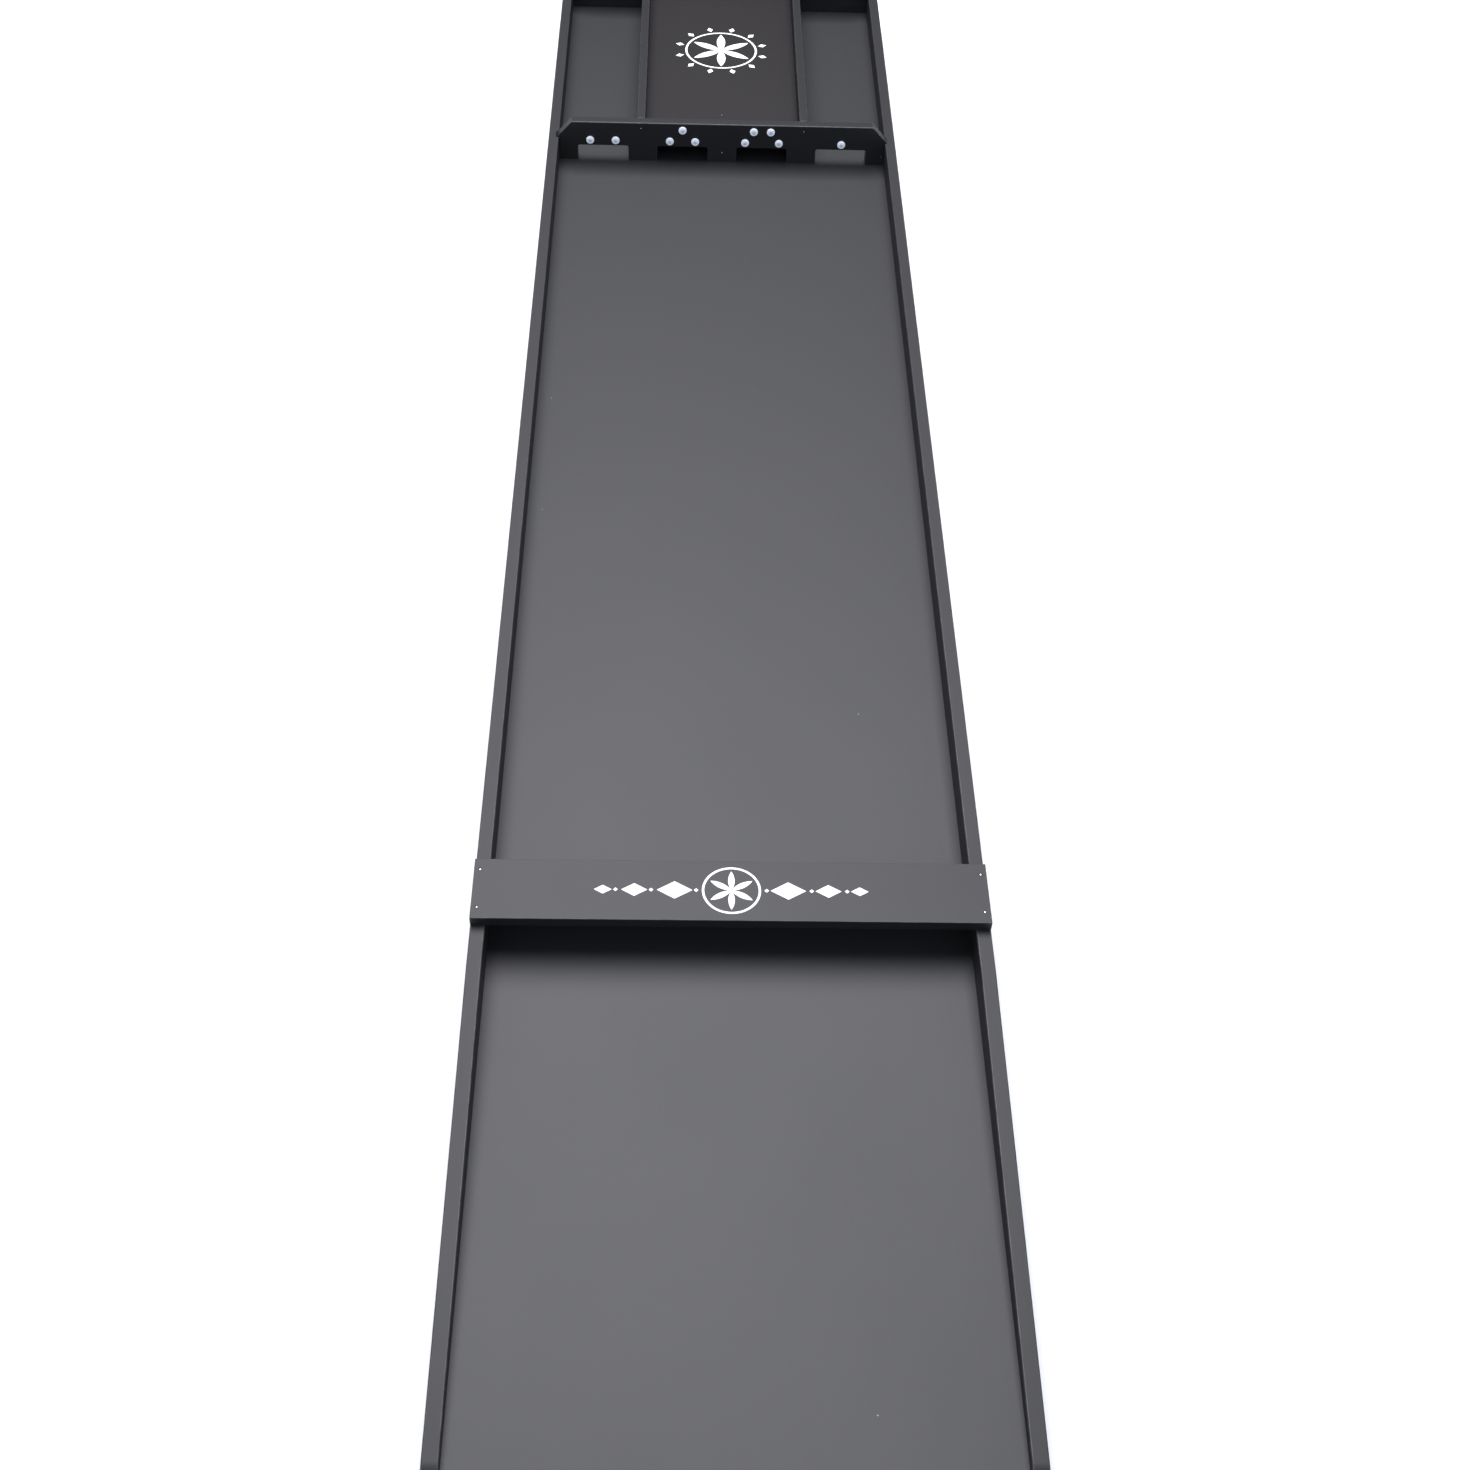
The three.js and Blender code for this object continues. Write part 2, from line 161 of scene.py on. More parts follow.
def length(name, description, default, **more):
    """A size in metres, shown in the scene's unit"""
    return FloatProperty(
        name=name, description=description, default=default, min=0.0, unit="LENGTH",
        subtype="DISTANCE", precision=4, **more,
    )


def share(name, description, default):
    """A setting from nothing to all"""
    return FloatProperty(
        name=name, description=description, default=default, min=0.0, max=1.0, subtype="FACTOR",
    )


def colour(name, description, default):
    """A linear colour"""
    return FloatVectorProperty(
        name=name, description=description, default=default, min=0.0, max=1.0, size=3,
        subtype="COLOR",
    )


class BoardSizes(bpy.types.PropertyGroup):
    """Sizes of the wood, nails and pins that the frame's boxes don't give"""

    fit: length("Fit", "Air left around a piece that sits in a groove or a hole", 0.0003)
    overrun: length("Overrun", "How far a cutter runs past the wood", 0.005)
    nose: length("Rail nose", "Radius of each rail's front top corner", 0.020)
    rail_slope: length("Rail slope", "How far the rails' tops slope, from the player's end", 0.400)
    rail_drop: length("Rail drop", "How much lower the rails are at the player's end", 0.021)
    rail_arris: length("Rail arris", "Radius of the rails' top edges", 0.0012)
    bar_arris: length("Bar arris", "Radius of the start bar's and end board's edges", 0.0005)
    fine_arris: length("Fine arris", "Radius of thin panels' and lower edges", 0.0005)
    batten_arris: length("Batten arris", "Radius of the battens' edges", 0.0009)
    arris_steps: IntProperty(name="Arris steps", description="Faces across a rounded edge", default=4, min=1)
    nose_steps: IntProperty(name="Nose steps", description="Faces round a rail's nose", default=16, min=1)
    rail_groove: length("Rail groove", "Depth of the grooves that hold the playing surface", 0.006)
    cover_groove: length("Cover groove", "Depth of the dividers' grooves for the cover panel", 0.003)
    gate_arris: length("Gate bar arris", "Radius of the gate bar's top edges", 0.0010)
    corner_cut: length("Corner cut", "Width of the slanted corner of the gate bar and end board", 0.019)
    corner_drop: length("Corner drop", "Height of that slanted corner", 0.021)
    gate_width: length("Gate width", "Clear width of one gate", 0.060)
    gate_rise: length("Gate height", "Clear height of one gate above the playing surface", 0.019)
    gate_inset: length("Gate inset", "Wood between an outer gate and the rail", 0.022)
    gate_corner: length("Gate corner", "Radius of a gate's top corners", 0.0025)
    nail_shank: length("Nail shank", "Radius of a number nail's shank", 0.00125)
    nail_rise: length("Nail rise", "How far a number nail's head stands out", 0.0024)
    nail_rim: length("Nail rim", "Radius of the rounded edge of a number nail's head", 0.0009)
    nail_side: length("Nail side", "Straight height of a number nail's head", 0.0010)
    nail_brim: length("Nail brim", "How far the brim stands out where it meets the boss", 0.0021)
    nail_boss: length("Nail boss", "Radius of the low boss in the middle of the head", 0.0024)
    nail_point: length("Nail point", "Length of a number nail's tip", 0.0025)
    pin_head_depth: length("Pin head", "Thickness of a pin's head", 0.0006)
    pin_shank: length("Pin shank", "Radius of a pin's shank", 0.0008)
    pin_point: length("Pin point", "Length of a pin's tip", 0.0016)
    pin_dimple: length("Pin dimple", "Radius of the punch mark in a pin's head", 0.0005)
    print_depth: length("Print thickness", "Thickness of the printed ornaments", 0.00012)
    print_line: length("Print line", "Width of the ring round the start bar's rosette", 0.0019)
    start_roundel: length("Start bar roundel", "Radius of the start bar's ring", 0.0235)
    cover_roundel: length("Cover roundel", "Radius of the cover panel's ring", 0.045)
    cover_roundel_reach: length("Cover roundel reach", "From the end board to that ring's middle", 0.155)


class BoardFinishes(bpy.types.PropertyGroup):
    """Colours and gloss of the pieces"""

    rail_paint: colour("Rail paint", "Satin black of the rails", (0.0085, 0.0085, 0.0092))
    surface_paint: colour("Surface paint", "Satin black of the playing surface", (0.0088, 0.0092, 0.0110))
    bar_paint: colour("Bar paint", "Satin black of the bars and dividers", (0.0026, 0.0029, 0.0036))
    cover_paint: colour("Cover paint", "Brownish black of the cover panel", (0.0095, 0.0078, 0.0078))
    bare_board: colour("Bare hardboard", "Underside of the playing surface", (0.23, 0.13, 0.07))
    pale_wood: colour("Pale wood", "Early wood of the battens", (0.66, 0.48, 0.29))
    dark_wood: colour("Dark wood", "Late wood of the battens", (0.44, 0.26, 0.12))
    # The nails' brim and boss colours paint the head's reflection: a painted highlight ring on the brim round
    # a darker boss
    nail_brim: colour("Nail brim", "Pale lacquer on a number nail's brim", (0.86, 0.89, 0.95))
    nail_boss: colour("Nail boss", "Greyer boss of a number nail", (0.50, 0.54, 0.64))
    steel: colour("Steel", "Pins", (0.66, 0.66, 0.68))
    print_white: colour("Print white", "Ornaments", (0.86, 0.86, 0.87))
    fleck: colour("Fleck", "Specks of dust on the paint", (0.32, 0.32, 0.33))
    # Lighter paint along the arrises: paint worn thin there, and a painted highlight along the edges
    rubbed_and_highlit_arris: colour("Rubbed arris", "Paint rubbed thin along the edges", (0.034, 0.034, 0.036))
    rail_roughness: share("Rail roughness", "Roughness of the rails", 0.54)
    rail_gloss: share("Rail gloss", "Specular level of the rails", 0.41)
    bar_roughness: share("Bar roughness", "Roughness of the bars and dividers", 0.50)
    bar_gloss: share("Bar gloss", "Specular level of the bars and dividers", 0.44)
    cover_roughness: share("Cover roughness", "Roughness of the cover panel", 0.50)
    cover_gloss: share("Cover gloss", "Specular level of the cover panel", 0.30)
    surface_roughness: share("Surface roughness", "Roughness of the playing surface", 0.53)
    surface_gloss: share("Surface gloss", "Specular level of the playing surface", 0.5)


class StudioSettings(bpy.types.PropertyGroup):
    """Camera, light and floor"""

    camera_place: FloatVectorProperty(
        name="Camera", description="Where the camera stands", default=(-0.0446, -1.5293, 1.3188),
        size=3, subtype="TRANSLATION", unit="LENGTH",
    )
    camera_yaw: FloatProperty(
        name="Yaw", description="Camera turned to the right", default=radians(2.410), subtype="ANGLE",
    )
    camera_pitch: FloatProperty(
        name="Pitch", description="Camera tipped down", default=radians(46.910), subtype="ANGLE",
    )
    camera_roll: FloatProperty(
        name="Roll", description="Camera rolled to the left", default=radians(2.475), subtype="ANGLE",
    )
    lens: FloatProperty(
        name="Lens", description="Focal length", default=49.297, unit="CAMERA", subtype="DISTANCE_CAMERA",
    )
    softbox_place: FloatVectorProperty(
        name="Softbox", description="Where the round softbox hangs", default=(-0.23, 1.41, 3.87),
        size=3, subtype="TRANSLATION", unit="LENGTH",
    )
    softbox_width: length("Softbox width", "Width of the round softbox", 3.88)
    softbox_power: FloatProperty(
        name="Softbox power", description="Power of the softbox", default=359.0, min=0.0, unit="POWER",
    )
    softbox_tone: colour("Softbox tone", "Colour of the softbox", (0.950, 0.947, 1.0))
    fill_height: FloatProperty(
        name="Fill height", description="How high the light from the player's side stands",
        default=radians(28), subtype="ANGLE",
    )
    fill_spread: FloatProperty(
        name="Fill spread", description="How wide that light looks from the board",
        default=radians(70), subtype="ANGLE",
    )
    fill_power: FloatProperty(name="Fill power", description="Power of that light", default=0.9, min=0.0)
    room_near: FloatProperty(
        name="Room near", description="Light from the room on the player's side", default=0.8, min=0.0,
    )
    room_far: FloatProperty(
        name="Room far", description="Light from the room behind the board", default=0.15, min=0.0,
    )
    room_tone: colour("Room tone", "Colour of the light from all round", (0.82, 0.89, 1.0))
    floor_tone: colour("Floor tone", "Colour of the plain floor", (0.82, 0.82, 0.82))
    floor_reach: length("Floor reach", "Half the width of the plain floor", 4.5)


def sizes():
    return bpy.context.scene.board_sizes


def finishes():
    return bpy.context.scene.board_finishes


def studio():
    return bpy.context.scene.board_studio


# Wood shaping


def plank(low, high):
    """A bmesh box between two corners"""
    bm = bmesh.new()
    low, high = Vector(low), Vector(high)
    bmesh.ops.create_cube(bm, size=1.0)
    bmesh.ops.scale(bm, vec=high - low, verts=bm.verts)
    bmesh.ops.translate(bm, vec=(low + high) / 2, verts=bm.verts)
    return bm


def moulding(points, run):
    """A bmesh solid of an outline of 3-D points, extruded along run"""
    bm = bmesh.new()
    face = bm.faces.new([bm.verts.new(point) for point in points])
    swept = bmesh.ops.extrude_face_region(bm, geom=[face])["geom"]
    moved = [item for item in swept if isinstance(item, bmesh.types.BMVert)]
    bmesh.ops.translate(bm, vec=run, verts=moved)
    bmesh.ops.recalc_face_normals(bm, faces=bm.faces)
    return bm


def everything(bm):
    """All vertices, edges and faces"""
    return bm.verts[:] + bm.edges[:] + bm.faces[:]


def sharp_edges(bm, wanted):
    """Edges that turn by more than a few degrees and that wanted accepts by their middle"""
    bm.edges.ensure_lookup_table()
    found = []
    for edge in bm.edges:
        if len(edge.link_faces) == 2 and edge.calc_face_angle() > EASED_ANGLE:
            middle = (edge.verts[0].co + edge.verts[1].co) / 2
            if wanted(edge, middle):
                found.append(edge)
    return found


def ease(bm, radius, wanted=lambda edge, middle: True):
    """Rounds the sharp edges that wanted accepts, and marks the new faces as arris for the paint"""
    arris = bm.faces.layers.float.get("arris") or bm.faces.layers.float.new("arris")
    rounded = bmesh.ops.bevel(
        bm, geom=sharp_edges(bm, wanted), offset=radius, offset_type="OFFSET", affect="EDGES",
        segments=sizes().arris_steps, profile=0.5, material=-1, clamp_overlap=True, loop_slide=True,
    )
    for face in rounded["faces"]:
        face[arris] = 1.0


def lathe(profile, place, direction, steps):
    """A turned bmesh solid: profile holds (radius, distance in front of place) from axis to axis"""
    bm = bmesh.new()
    verts = [bm.verts.new((radius, 0, height)) for radius, height in profile]
    edges = [bm.edges.new(pair) for pair in zip(verts, verts[1:])]
    bmesh.ops.spin(
        bm, geom=verts + edges, cent=(0, 0, 0), axis=(0, 0, 1), angle=2 * pi, steps=steps,
        use_merge=True, use_normal_flip=False, use_duplicate=False,
    )
    bmesh.ops.remove_doubles(bm, verts=bm.verts, dist=MERGE_DISTANCE)
    bmesh.ops.recalc_face_normals(bm, faces=bm.faces)
    turn = Vector((0, 0, -1)).rotation_difference(direction).to_matrix().to_4x4()
    bmesh.ops.transform(bm, matrix=Matrix.Translation(place) @ turn, verts=bm.verts)
    return bm


def mark_reach(bm, place, direction, radius):
    """Writes each point's distance from a turned piece's axis, as a share of its radius"""
    reach = bm.verts.layers.float.new("reach")
    for vert in bm.verts:
        arm = vert.co - place
        vert[reach] = (arm - direction * arm.dot(direction)).length / radius


def object_from(bm, name):
    """A new object that takes over a bmesh"""
    mesh = bpy.data.meshes.new(name)
    bm.to_mesh(mesh)
    bm.free()
    piece = bpy.data.objects.new(name, mesh)
    bpy.context.scene.collection.objects.link(piece)
    return piece


def carve(piece, cutters):
    """Cuts the cutters' shapes out of a piece"""
    gathered = bpy.data.meshes.new("cutters")
    together = bmesh.new()
    for cutter in cutters:
        cutter.to_mesh(gathered)
        cutter.free()
        together.from_mesh(gathered)
    tool = object_from(together, "cutter")
    carving = piece.modifiers.new("carving", "BOOLEAN")
    carving.operation = "DIFFERENCE"
    carving.solver = "EXACT"
    carving.object = tool
    with bpy.context.temp_override(object=piece, active_object=piece):
        bpy.ops.object.modifier_apply(modifier=carving.name)
    bpy.data.objects.remove(tool)
    bpy.data.meshes.remove(gathered)


def dress(piece, material, slot, *nodes):
    """Shades a finished piece and hands it to the frame"""
    mesh = piece.data
    mesh.materials.clear()
    mesh.materials.append(material)
    mesh.shade_smooth()
    mesh.set_sharp_from_angle(angle=CREASE_ANGLE)
    even = piece.modifiers.new("even_shading", "WEIGHTED_NORMAL")
    even.keep_sharp = True
    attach(piece, "root")
    if nodes:
        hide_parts(*nodes)
    if not mesh.polygons:
        raise RuntimeError(f"{piece.name} came out empty")
    return piece


# Pins and nails


def pin_head(node, direction):
    """The middle of a pin's outer face, and its length, from its box"""
    low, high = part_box(node)
    middle, half = (low + high) / 2, (high - low) / 2
    reach = sum(abs(direction[axis]) * half[axis] for axis in range(3))
    return middle - direction * reach, 2 * reach


def head_radius(node, direction):
    """Radius of a pin's head, from its box"""
    low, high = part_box(node)
    across = [high[axis] - low[axis] for axis in range(3) if not direction[axis]]
    return max(across) / 2


def pin_names(stem):
    return [f"{stem}_{index + 1}" for index in range(PIN_SETS[stem][0])]


def pin_bores(*stems):
    """Cutters for the holes of whole sets of pins, open where they are driven in"""
    size = sizes()
    cutters = []
    for stem in stems:
        direction = PIN_SETS[stem][1]
        for name in pin_names(stem):
            head, reach = pin_head(name, direction)
            wide = head_radius(name, direction) + size.fit
            narrow = size.pin_shank + size.fit
            seat = -size.pin_head_depth - size.fit
            profile = [
                (0, -reach - size.fit), (narrow, -reach - size.fit), (narrow, seat), (wide, seat),
                (wide, size.overrun), (0, size.overrun),
            ]
            cutters.append(lathe(profile, head, direction, PIN_SIDES))
    return cutters


def nail_bores():
    """Cutters for the holes of all number nails, open at the gate bar's front"""
    size = sizes()
    cutters = []
    for name in NAILS:
        low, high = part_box(name)
        place = Vector(((low.x + high.x) / 2, GATE_LOW.y, (low.z + high.z) / 2))
        reach = high.y - GATE_LOW.y + size.fit
        radius = size.nail_shank + size.fit
        profile = [(0, -reach), (radius, -reach), (radius, size.overrun), (0, size.overrun)]
        cutters.append(lathe(profile, place, Vector((0, 1, 0)), PIN_SIDES))
    return cutters


# Finishes


class Finish:
    """A node material that is built up step by step"""

    def __init__(self, name, **sockets):
        self.material = bpy.data.materials.new(name)
        self.material.use_nodes = True
        self.tree = self.material.node_tree
        self.shader = self.tree.nodes["Principled BSDF"]
        self.set(self.shader, sockets)
        self.places = self.add("ShaderNodeTexCoord").outputs["Object"]

    def set(self, node, sockets):
        for name, value in sockets.items():
            socket = node.inputs[name.replace("_", " ")] if isinstance(name, str) else node.inputs[name]
            if isinstance(value, bpy.types.NodeSocket):
                self.tree.links.new(value, socket)
            else:
                socket.default_value = value

    def add(self, kind, settings=None, **sockets):
        node = self.tree.nodes.new(kind)
        for name, value in (settings or {}).items():
            setattr(node, name, value)
        self.set(node, sockets)
        return node

    def stretched(self, scale):
        return self.add("ShaderNodeMapping", Vector=self.places, Scale=scale).outputs["Vector"]

    def noise(self, vector, scale, detail=2.0, roughness=0.5):
        node = self.add(
            "ShaderNodeTexNoise", Vector=vector, Scale=scale, Detail=detail, Roughness=roughness,
        )
        return node.outputs["Fac"]

    def ranged(self, value, low, high, to_low, to_high):
        node = self.add(
            "ShaderNodeMapRange", Value=value, From_Min=low, From_Max=high, To_Min=to_low, To_Max=to_high,
        )
        return node.outputs["Result"]

    def math(self, operation, first, second):
        node = self.add("ShaderNodeMath", {"operation": operation})
        self.set(node, {0: first, 1: second})
        return node.outputs["Value"]

    def mixed(self, factor, first, second, blend="MIX"):
        node = self.add("ShaderNodeMix", {"data_type": "RGBA", "blend_type": blend})
        self.set(node, {0: factor, 6: first, 7: second})
        return node.outputs[2]

    def raised(self, height, distance, strength=1.0, normal=None):
        node = self.add("ShaderNodeBump", Height=height, Distance=distance, Strength=strength)
        if normal is not None:
            self.tree.links.new(normal, node.inputs["Normal"])
        return node.outputs["Normal"]


def tinted(base, factor):
    """A colour made lighter or darker, with its alpha"""
    return (*[min(1.0, channel * factor) for channel in base], 1.0)


def paint(name, base, roughness, gloss, grain_axis, flecks=0.0, grain=0.10, under=None):
    """Satin paint: clouded tone, faint grain along one axis, a fine tooth, a few specks of dust, and arrises
    lightened as worn paint and as a painted highlight
    """
    finish = Finish(name, Specular_IOR_Level=gloss)
    stretch = [GRAIN_ACROSS] * 3
    stretch[grain_axis] = GRAIN_ALONG
    fibres = finish.noise(finish.stretched(stretch), GRAIN_SCALE, 6.0, 0.6)
    clouds = finish.noise(finish.places, CLOUD_SCALE, 3.0)
    tooth = finish.noise(finish.places, TOOTH_SCALE, 2.0, 0.6)
    streaked = finish.mixed(
        finish.ranged(fibres, 0.35, 0.65, 0.0, 1.0), tinted(base, 1 - grain), tinted(base, 1 + grain),
    )
    clouded = finish.mixed(
        finish.ranged(clouds, *NOISE_MIDDLE, 0.0, CLOUD_SHARE), streaked, tinted(base, CLOUD_TINT),
    )
    toothed = finish.mixed(
        finish.ranged(tooth, *NOISE_MIDDLE, 0.0, TOOTH_SHARE), clouded, tinted(base, TOOTH_TINT),
    )
    # Lighter, glossier paint on the arrises in patches: partly paint worn thin, partly a painted highlight
    # along the edges
    patches = finish.noise(finish.places, RUBBED_AND_HIGHLIT_SCALE, 4.0, 0.6)
    arris = finish.add("ShaderNodeAttribute", {"attribute_name": "arris"}).outputs["Fac"]
    rubbed_and_highlit = finish.math("MULTIPLY", arris, finish.ranged(patches, 0.35, 0.6, 0.35, 1.0))
    tone = finish.mixed(rubbed_and_highlit, toothed, (*finishes().rubbed_and_highlit_arris, 1.0))
    if flecks:
        cells = finish.add("ShaderNodeTexVoronoi", Vector=finish.places, Scale=FLECK_SCALE)
        near = finish.ranged(cells.outputs["Distance"], *FLECK_EDGE, 1.0, 0.0)
        parted = finish.add("ShaderNodeSeparateColor", Color=cells.outputs["Color"])
        chosen = finish.math("LESS_THAN", parted.outputs["Red"], flecks)
        tone = finish.mixed(finish.math("MULTIPLY", near, chosen), tone, (*finishes().fleck, 1.0))
    if under is not None:
        height = finish.add("ShaderNodeSeparateXYZ", Vector=finish.places).outputs["Z"]
        below = finish.math("LESS_THAN", height, SURFACE_LOW.z + sizes().fit)
        bare = finish.noise(finish.places, BARE_BOARD_SCALE, 5.0, 0.7)
        fibre = finish.mixed(bare, tinted(under, 0.75), tinted(under, 1.3))
        tone = finish.mixed(below, tone, fibre)
    satin = finish.ranged(clouds, 0.25, 0.75, roughness - GLOSS_STRAY, roughness + GLOSS_STRAY)
    burnished = finish.math("SUBTRACT", satin, finish.math("MULTIPLY", rubbed_and_highlit, BURNISH))
    grain_bump = finish.raised(fibres, GRAIN_DEPTH, 0.5)
    finish.set(finish.shader, {
        "Base_Color": tone,
        "Roughness": burnished,
        "Normal": finish.raised(tooth, TOOTH_DEPTH, 0.6, grain_bump),
    })
    return finish.material


def softwood(name):
    """Planed softwood with growth rings, grain along the batten"""
    finish = Finish(name, Specular_IOR_Level=0.4)
    pale, dark = finishes().pale_wood, finishes().dark_wood
    drift = finish.noise(finish.stretched(DRIFT_STRETCH), 2.0, 3.0)
    wave = finish.add(
        "ShaderNodeTexWave", {"wave_type": "RINGS", "rings_direction": "X"},
        Vector=finish.stretched(RING_STRETCH), Scale=1.6, Distortion=5.0, Detail=3.0, Detail_Scale=1.4,
    )
    fibres = finish.noise(finish.stretched(FIBRE_STRETCH), 1.0, 4.0, 0.7)
    rings = finish.mixed(wave.outputs["Fac"], (*pale, 1.0), (*dark, 1.0))
    tone = finish.mixed(finish.ranged(fibres, *NOISE_MIDDLE, 0.0, 0.35), rings, tinted(dark, 1.1))
    drifted = finish.mixed(finish.ranged(drift, *NOISE_MIDDLE, 0.0, 0.2), tone, tinted(pale, 1.15))
    finish.set(finish.shader, {
        "Base_Color": drifted,
        "Roughness": finish.ranged(fibres, *NOISE_MOST, 0.55, 0.78),
        "Normal": finish.raised(fibres, FIBRE_DEPTH, 0.5),
    })
    return finish.material


def pin_steel(name):
    """Scuffed steel, bare in the middle of a pin's head, with the board's paint run over its edge"""
    finish = Finish(name)
    base = finishes().steel
    reach = finish.add("ShaderNodeAttribute", {"attribute_name": "reach"}).outputs["Fac"]
    scuffs = finish.noise(finish.places, PIN_SCUFF_SCALE, 3.0, 0.7)
    smeared = finish.math("ADD", reach, finish.ranged(scuffs, *NOISE_MIDDLE, -0.06, 0.06))
    painted = finish.ranged(smeared, *BARE_STEEL_EDGE, 0.0, 1.0)
    bare = finish.mixed(finish.ranged(scuffs, *NOISE_MIDDLE, 0.0, 0.25), (*base, 1.0), tinted(base, 0.8))
    finish.set(finish.shader, {
        "Base_Color": finish.mixed(painted, bare, (*finishes().bar_paint, 1.0)),
        "Metallic": finish.ranged(painted, 0.0, 1.0, 1.0, 0.0),
        "Roughness": finish.ranged(painted, 0.0, 1.0, 0.34, finishes().bar_roughness),
        "Normal": finish.raised(scuffs, SCUFF_DEPTH, 0.3),
    })
    return finish.material


def lacquered_nail_with_painted_ring(name):
    """Pale lacquer whose colour paints the head's reflection: a painted highlight ring on the brim and a
    greyer, darker boss, by how far a point is from the nail's axis
    """
    finish = Finish(name, Specular_IOR_Level=0.6, Coat_Weight=0.3, Coat_Roughness=0.2)
    reach = finish.add("ShaderNodeAttribute", {"attribute_name": "reach"}).outputs["Fac"]
    scuffs = finish.noise(finish.places, NAIL_SCUFF_SCALE, 3.0, 0.7)
    boss, brim = (*finishes().nail_boss, 1.0), (*finishes().nail_brim, 1.0)
    # The pale brim is a painted highlight ring, and the greyer boss is the darker middle of a painted
    # reflection
    tone = finish.mixed(finish.ranged(reach, *BOSS_EDGE, 0.0, 1.0), boss, brim)
    finish.set(finish.shader, {
        "Base_Color": finish.mixed(finish.ranged(scuffs, *NOISE_MIDDLE, 0.0, 0.12), tone, boss),
        "Roughness": finish.ranged(scuffs, *NOISE_MOST, 0.28, 0.42),
        "Normal": finish.raised(scuffs, SCUFF_DEPTH, 0.3),
    })
    return finish.material


def printing(name):
    """Flat white print that lets a little of the paint's tooth through"""
    finish = Finish(name, Specular_IOR_Level=0.3)
    tooth = finish.noise(finish.places, PRINT_SCALE, 2.0)
    base = finishes().print_white
    worn = finish.ranged(tooth, 0.35, 0.75, 0.0, 0.3)
    finish.set(finish.shader, {
        "Base_Color": finish.mixed(worn, (*base, 1.0), tinted(base, 0.85)),
        "Roughness": finish.ranged(tooth, *NOISE_MOST, 0.5, 0.62),
        "Normal": finish.raised(tooth, PRINT_TOOTH_DEPTH, 0.4),
    })
    return finish.material


# Operators


class BoardOperator:
    bl_options = {"REGISTER", "UNDO"}


def lamp(name, kind, power, tone):
    """A new light of one kind"""
    light = bpy.data.objects.new(name, bpy.data.lights.new(name, kind))
    light.data.energy = power
    light.data.color = tone
    bpy.context.scene.collection.objects.link(light)
    return light


class BOARD_OT_stage(BoardOperator, bpy.types.Operator):
    """Sets the camera, the soft light and the plain floor"""

    bl_idname = "board.stage"
    bl_label = "Stage"

    def execute(self, context):
        scene, setup = context.scene, studio()
        camera = bpy.data.objects.new("camera", bpy.data.cameras.new("camera"))
        camera.data.lens = setup.lens
        camera.data.clip_start, camera.data.clip_end = CAMERA_REACH
        turn = (
            Matrix.Rotation(-setup.camera_yaw, 4, "Z")
            @ Matrix.Rotation(pi / 2 - setup.camera_pitch, 4, "X")
            @ Matrix.Rotation(setup.camera_roll, 4, "Z")
        )
        camera.matrix_world = Matrix.Translation(setup.camera_place) @ turn
        scene.collection.objects.link(camera)
        scene.camera = camera
        scene.view_settings.view_transform = "Standard"

        softbox = lamp("round_softbox", "AREA", setup.softbox_power, setup.softbox_tone)
        softbox.data.shape = "DISK"
        softbox.data.size = setup.softbox_width
        softbox.visible_camera = False
        place = Vector(setup.softbox_place)
        softbox.matrix_world = Matrix.Translation(place) @ place.to_track_quat("Z", "Y").to_matrix().to_4x4()

        fill = lamp("players_side_fill", "SUN", setup.fill_power, setup.room_tone)
        fill.data.angle = setup.fill_spread
        fill.matrix_world = Matrix.Rotation(pi / 2 - setup.fill_height, 4, "X")

        room = bpy.data.worlds.new("studio_room")
        room.use_nodes = True
        nodes, links = room.node_tree.nodes, room.node_tree.links
        background = nodes["Background"]
        background.inputs["Color"].default_value = (*setup.room_tone, 1.0)
        parted = nodes.new("ShaderNodeSeparateXYZ")
        fading = nodes.new("ShaderNodeMapRange")
        settings = {
            "From Min": ROOM_FADE[0], "From Max": ROOM_FADE[1],
            "To Min": setup.room_near, "To Max": setup.room_far,
        }
        for name, value in settings.items():
            fading.inputs[name].default_value = value
        links.new(nodes.new("ShaderNodeTexCoord").outputs["Generated"], parted.inputs[0])
        links.new(parted.outputs["Y"], fading.inputs["Value"])
        links.new(fading.outputs["Result"], background.inputs["Strength"])
        backdrop = nodes.new("ShaderNodeBackground")
        backdrop.inputs["Color"].default_value = WHITE
        either = nodes.new("ShaderNodeMixShader")
        links.new(nodes.new("ShaderNodeLightPath").outputs["Is Camera Ray"], either.inputs[0])
        links.new(background.outputs[0], either.inputs[1])
        links.new(backdrop.outputs[0], either.inputs[2])
        links.new(either.outputs[0], nodes["World Output"].inputs["Surface"])
        scene.world = room

        bm = bmesh.new()
        bmesh.ops.create_grid(bm, x_segments=1, y_segments=1, size=setup.floor_reach)
        ground = object_from(bm, "plain_floor")
        finish = Finish("plain_floor", Roughness=0.8, Specular_IOR_Level=0.1)
        speckle = finish.noise(finish.places, FLOOR_SCALE)
        darker = tinted(setup.floor_tone, 1 - FLOOR_SPECKLE)
        lighter = tinted(setup.floor_tone, 1 + FLOOR_SPECKLE)
        finish.set(finish.shader, {"Base_Color": finish.mixed(speckle, darker, lighter)})
        ground.data.materials.append(finish.material)
        return {"FINISHED"}


